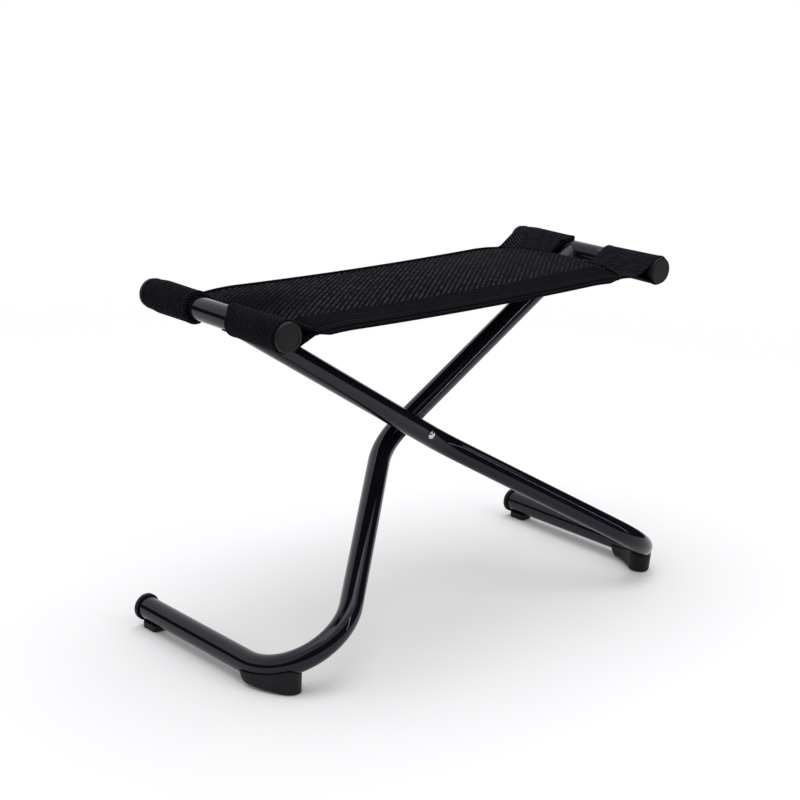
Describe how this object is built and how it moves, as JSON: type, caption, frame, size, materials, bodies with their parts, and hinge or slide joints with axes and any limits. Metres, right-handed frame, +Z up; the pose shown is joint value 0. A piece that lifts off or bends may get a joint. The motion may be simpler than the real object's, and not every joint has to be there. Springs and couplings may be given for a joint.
{
  "type": "folding camp stool",
  "caption": "Folding camp stool: crossed bent-tube frames riveted at the middle carry a padded mesh sling seat on sewn corner sleeves, with plastic caps and feet.",
  "frame": {"origin": "on the floor, at the middle of the stool's length and depth", "axes": "+X along the seat from bar A to bar B, +Y along the seat bars towards the open foot ends, +Z up"},
  "size_m": [0.5384, 0.2446, 0.3412],
  "materials": {
    "black_paint": "gloss black stove enamel on round tube",
    "charcoal_plastic": "fine moulded grain, matte charcoal",
    "zinc_steel": "bright zinc plate",
    "black_nylon": "satin nylon",
    "black_mesh": "black ribbed mesh over thin foam",
    "black_webbing": "black woven polyester, stitched"
  },
  "bodies": {
    "frame_a": {"leg_tube_a": "black_paint", "top_bar_a": "black_paint", "top_cap_a_near": "charcoal_plastic", "top_cap_a_far": "charcoal_plastic", "near_foot_a": "charcoal_plastic", "near_foot_screw_a": "zinc_steel", "far_foot_a": "charcoal_plastic", "pivot_rivet": "zinc_steel", "pivot_spacer": "black_nylon", "pivot_washer": "zinc_steel"},
    "frame_b": {"leg_tube_b": "black_paint", "top_bar_b": "black_paint", "top_cap_b_near": "charcoal_plastic", "top_cap_b_far": "charcoal_plastic", "near_foot_b": "charcoal_plastic", "near_foot_screw_b": "zinc_steel", "far_foot_b": "charcoal_plastic"},
    "seat_half_a": {"seat_panel_a": "black_mesh", "seat_binding_a_near": "black_webbing", "seat_binding_a_far": "black_webbing", "seat_sleeve_a_near": "black_webbing", "seat_sleeve_a_far": "black_webbing"},
    "seat_half_b": {"seat_panel_b": "black_mesh", "seat_binding_b_near": "black_webbing", "seat_binding_b_far": "black_webbing", "seat_sleeve_b_near": "black_webbing", "seat_sleeve_b_far": "black_webbing"}
  },
  "joints": [
    {"name": "fold", "type": "hinge", "parent": "frame_a", "child": "frame_b", "pos_m": [0, 0.0223, 0.1755], "axis": [0, -1, 0], "range_deg": [0, 104], "deforming": ["seat_panel_b", "seat_binding_b_near", "seat_binding_b_far", "seat_sleeve_b_near", "seat_sleeve_b_far"]},
    {"name": "seat_swing_a", "type": "hinge", "parent": "frame_a", "child": "seat_half_a", "pos_m": [-0.2465, 0.0223, 0.3265], "axis": [0, -1, 0], "range_deg": [0, 137.5]},
    {"name": "seat_crease", "type": "hinge", "parent": "seat_half_a", "child": "seat_half_b", "pos_m": [0, 0.0223, 0.3133], "axis": [0, 1, 0], "range_deg": [0, 171]}
  ],
  "couplings": [
    {"joint": "seat_swing_a", "follows": "fold", "ratio": 1.3215},
    {"joint": "seat_crease", "follows": "fold", "ratio": 1.643}
  ]
}
